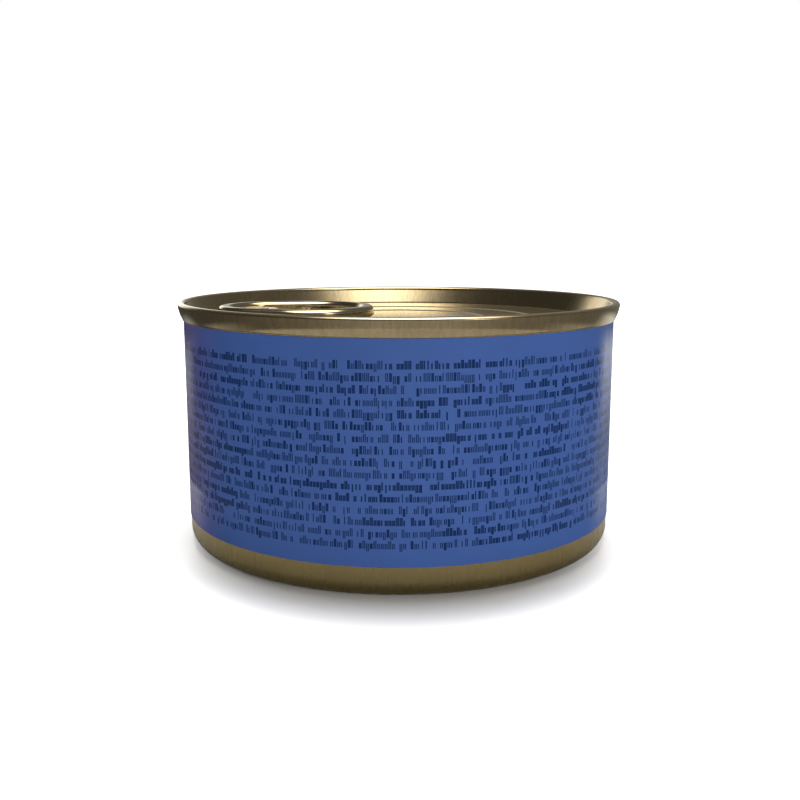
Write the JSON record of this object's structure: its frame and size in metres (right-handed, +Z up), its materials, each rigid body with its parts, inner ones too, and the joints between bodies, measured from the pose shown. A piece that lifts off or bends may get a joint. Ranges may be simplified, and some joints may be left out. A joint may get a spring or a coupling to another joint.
{
  "type": "ring-pull pet food can",
  "caption": "Low round shut food can with a printed wrap, a rolled seam and an easy-open end that has a ring-pull tab.",
  "frame": {"origin": "middle of the base, on the surface the can stands on", "axes": "+Z up along the can's axis; -X towards the nose of the pull tab, which is turned a few degrees to +Y"},
  "size_m": [0.067, 0.067, 0.0363],
  "materials": {
    "cup_metal": "satin gold lacquer on drawn tinplate",
    "label_print": "glossy varnished blue print with rows of small dark marks",
    "end_metal": "glossy gold lacquer on stamped tinplate",
    "tab_metal": "bright rolled metal with a pale gold lacquer"
  },
  "bodies": {
    "root": {"body": "cup_metal", "label": "label_print", "lid": "end_metal", "pull_tab": "tab_metal"}
  },
  "joints": []
}
